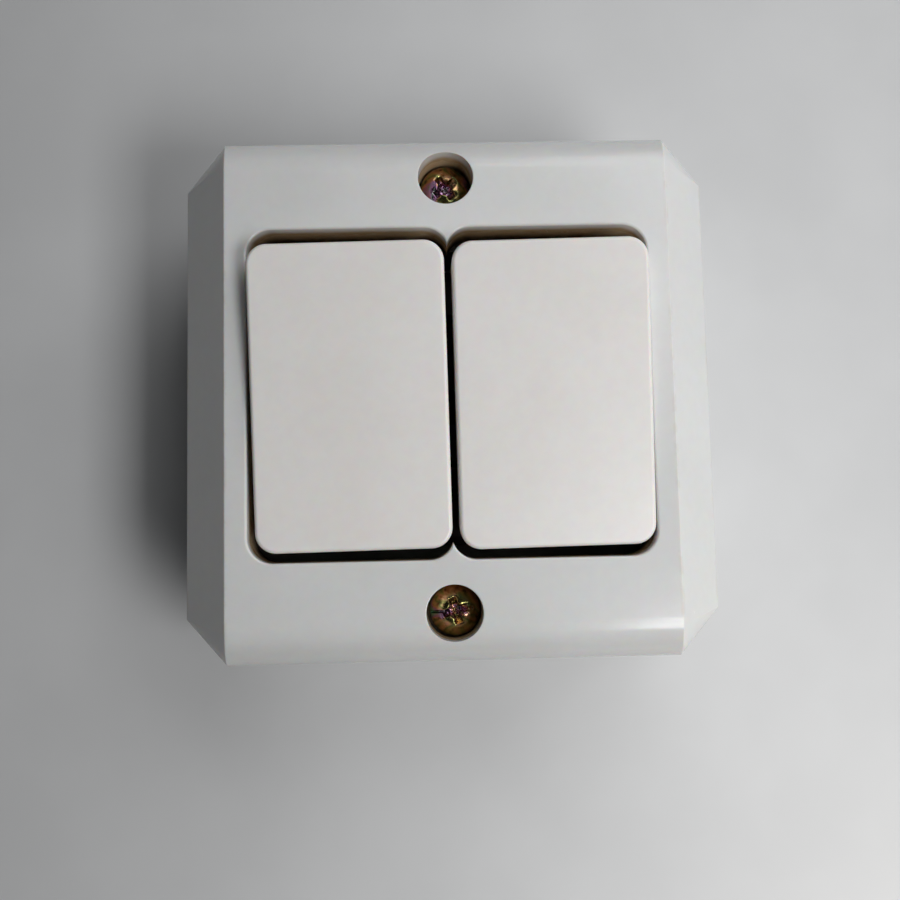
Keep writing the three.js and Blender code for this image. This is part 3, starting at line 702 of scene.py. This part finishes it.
def cover_dirt_and_shade(s):
    """Dirt and painted shade, growing down the walls of the opening and slower down the screw
    holes. The spans in x and y keep it off the cover's outer sides, and tell the holes from the
    opening."""
    x, y, z = s.axes()
    aside = s.math("ABSOLUTE", x)
    upward = s.math("ABSOLUTE", y)
    along = s.span(aside, 26.8 * MM, 27.2 * MM, 1.0, 0.0)
    up = s.span(upward, 31.2 * MM, 31.5 * MM, 1.0, 0.0)
    in_hole = s.span(upward, 23 * MM, 23.2 * MM)
    opening = s.span(z, (FRONT_Z - 0.1) * MM, (FRONT_Z - 6.5) * MM)
    hole = s.span(z, (FRONT_Z - 0.8) * MM, (FRONT_Z - 8) * MM)
    depth = s.math("MULTIPLY_ADD", in_hole, s.math("SUBTRACT", hole, opening), opening)
    return s.math("MULTIPLY", s.math("MULTIPLY", along, up), depth)


def rocker_dirt_and_shade(s):
    """Dirt and painted shade that grow down a rocker's side walls, away from its face."""
    return s.span(
        rocker_height(s), (FACE_ABOVE_PIVOT - 3.2) * MM, (FACE_ABOVE_PIVOT - 10) * MM)


def gap_shade_mask(s):
    """Painted shade on what lies below the gap between the rockers: 1 there, 0 to either side."""
    x, _, z = s.axes()
    middle = sum(GANG_X.values()) / 2 * MM
    off = s.math("ABSOLUTE", s.math("SUBTRACT", x, middle))
    inside = s.span(z, 22 * MM, 20 * MM)
    return s.math("MULTIPLY", inside, s.span(off, 1.0 * MM, 2.0 * MM, 1.0, 0.0))


# Paints the shade under the gap between the rockers near black.
def paint_gap_shade(s, color):
    return s.mix(s.math("MULTIPLY", gap_shade_mask(s), 0.97), color, linear(14, 12, 10))


def metal(name, light, dark, rough):
    s = Shader(name)
    tone = s.span(s.noise(300, 4, 0.6), 0.3, 0.7)
    # Painted shade: near black where the metal lies under the gap between the rockers.
    color = paint_gap_shade(s, s.mix(tone, light, dark))
    streak = s.noise(1500, 3, 0.6, stretch=(1, 0.08, 1))
    roughness = s.span(streak, 0.3, 0.7, rough - 0.08, rough + 0.12)
    normal = s.bump(streak, 0.1, 0.00002)
    return s.set(Base_Color=color, Roughness=roughness, Metallic=1.0, Normal=normal)


def zinc_screw():
    """Yellow-passivated steel: thin coloured films and random patches of dirt."""
    s = Shader("zinc_screw")
    film = s.noise(300, 2, 0.5, distortion=0.5)
    ramp = s.tree.nodes.new("ShaderNodeValToRGB")
    s.link(film, ramp.inputs[0])
    stops = [
        (0.30, linear(150, 104, 66)), (0.38, linear(204, 158, 120)), (0.45, linear(164, 158, 98)),
        (0.50, linear(112, 120, 74)), (0.56, linear(196, 150, 108)), (0.62, linear(172, 122, 166)),
        (0.70, linear(112, 158, 128)),
    ]
    elements = ramp.color_ramp.elements
    elements[0].position, elements[0].color = stops[0]
    elements[1].position, elements[1].color = stops[-1]
    for position, color in stops[1:-1]:
        elements.new(position).color = color
    dirt_and_shade = s.span(s.noise(1100, 4, 0.6), 0.5, 0.72)
    color = s.mix(s.math("MULTIPLY", dirt_and_shade, 0.75), ramp.outputs[0], linear(48, 38, 26))
    # Painted shade: near black where the screw lies under the gap between the rockers.
    color = paint_gap_shade(s, color)
    roughness = s.span(s.noise(1300, 3, 0.6), 0.3, 0.7, 0.16, 0.27)
    coarse = s.bump(s.noise(800, 3, 0.6), 0.35, 0.0001)
    normal = s.bump(s.noise(2600, 3, 0.6), 0.3, 0.00003, coarse)
    return s.set(Base_Color=color, Roughness=roughness, Metallic=1.0, Normal=normal)


MATERIALS = {
    "cover_plastic": plastic(
        "cover_plastic", linear(224, 225, 225), linear(219, 220, 219), 0.17, peel=0.14,
        specks=0.6, dirt_and_shade=cover_dirt_and_shade, wear=cover_wear, bleed=0.0009),
    "rocker_plastic": plastic(
        "rocker_plastic", linear(240, 238, 236), linear(235, 232, 229), 0.34, peel=0.14,
        specks=0.5, dirt_and_shade=rocker_dirt_and_shade, wear=rocker_wear, bleed=0.0005),
    "base_plastic": plastic(
        "base_plastic", linear(206, 205, 198), linear(196, 195, 188), 0.5),
    "block_plastic": plastic(
        "block_plastic", linear(46, 38, 32), linear(34, 28, 23), 0.5, peel=0.15),
    "plunger_plastic": plastic(
        "plunger_plastic", linear(236, 233, 224), linear(230, 226, 214), 0.45),
    "zinc_screw": zinc_screw(),
    "brass_strip": metal("brass_strip", linear(214, 178, 96), linear(190, 150, 78), 0.36),
    "contact_silver": metal(
        "contact_silver", linear(222, 222, 218), linear(196, 196, 190), 0.3),
    "spring_steel": metal(
        "spring_steel", linear(176, 178, 182), linear(150, 152, 156), 0.28),
}


def dress(obj, slot):
    obj.data.materials.clear()
    obj.data.materials.append(MATERIALS[slot])


# ---- the object ---------------------------------------------------------------------------

for part in frame["record"]["subparts"]:
    node = frame["nodes"][part["node"]]
    for slot in node.material_slots:
        slot.material = MATERIALS[part["material_slot"]]

cover = build_cover()
dress(cover, "cover_plastic")
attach(cover, "housing")
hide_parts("cover")

for side in ("left", "right"):
    cap = build_rocker(side)
    dress(cap, "rocker_plastic")
    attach(cap, side + "_rocker")
    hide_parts("rocker_" + side)

# For each cover screw: how far its recess is turned, its slip marks, how far it sits aside in its
# hole, and the seed of its dents.
for end, sign, turn, slips, aside, seed in (
    ("top", 1, 0.62, [], 0.0, 3), ("bottom", -1, 0.28, [3.2], 0.18, 8),
):
    screw = build_screw(
        "cover_screw_head_" + end, turn, slips,
        (aside, sign * SCREW_Y, SCREW_SEAT_Z + SCREW_HEAD_LIFT), seed,
    )
    dress(screw, "zinc_screw")
    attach(screw, "housing")
    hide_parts("cover_screw_" + end)

# ---- floor, light and camera --------------------------------------------------------------

def build_floor():
    bm = bmesh.new()
    bmesh.ops.create_grid(bm, x_segments=1, y_segments=1, size=1.5)
    floor = from_bmesh("floor", bm)
    s = Shader("floor_pale")
    tone = s.span(s.noise(40, 3, 0.5), 0.3, 0.7)
    color = s.mix(tone, linear(214, 215, 216), linear(209, 210, 211))
    floor.data.materials.append(s.set(Base_Color=color, Roughness=0.55))


build_floor()


def softbox(name, towards, distance, size, power, level=False, color=(1, 1, 1)):
    """A light of the given width and height that far away from the switch's front, turned to
    face it, or level and facing straight down."""
    data = bpy.data.lights.new(name, "AREA")
    data.shape = "RECTANGLE"
    data.size, data.size_y = size
    data.energy = power
    data.color = color
    light = bpy.data.objects.new(name, data)
    direction = Vector(towards).normalized()
    light.location = Vector((0, 0, FRONT_Z * MM)) + distance * direction
    if not level:
        light.rotation_euler = direction.to_track_quat("Z", "Y").to_euler()
    light.visible_camera = False
    SCENE.collection.objects.link(light)


softbox("window", (0.61, -0.6, 1), 0.28, (0.098, 0.148), 0.5, level=True)
softbox("right", (1, 0.1, 0.7), 0.35, (0.4, 0.4), 0.10)
softbox("right_top", (0.7, 0.8, 0.85), 0.4, (0.35, 0.35), 0.56)
softbox("overhead", (0.3, 0.75, 0.9), 0.16, (0.12, 0.12), 0.04)
softbox("low", (1, -1, 0.25), 0.16, (0.08, 0.08), 0.018, color=(1, 0.9, 0.78))

world = bpy.data.worlds.new("studio")
SCENE.world = world
world.use_nodes = True
world.node_tree.nodes["Background"].inputs[0].default_value = (0.93, 0.96, 1.0, 1)
world.node_tree.nodes["Background"].inputs[1].default_value = 0.02

# Where the photograph was taken from, fitted to the cover's outline.
camera_data = bpy.data.cameras.new("camera")
camera_data.sensor_width = 36
camera_data.lens = 35.72
camera_data.clip_start = 0.005
camera = bpy.data.objects.new("camera", camera_data)
camera.location = (-0.002257, -0.016638, 0.14082)
camera.rotation_euler = (0.083, -0.017, -0.022)
SCENE.collection.objects.link(camera)
SCENE.camera = camera
SCENE.view_settings.view_transform = "Standard"
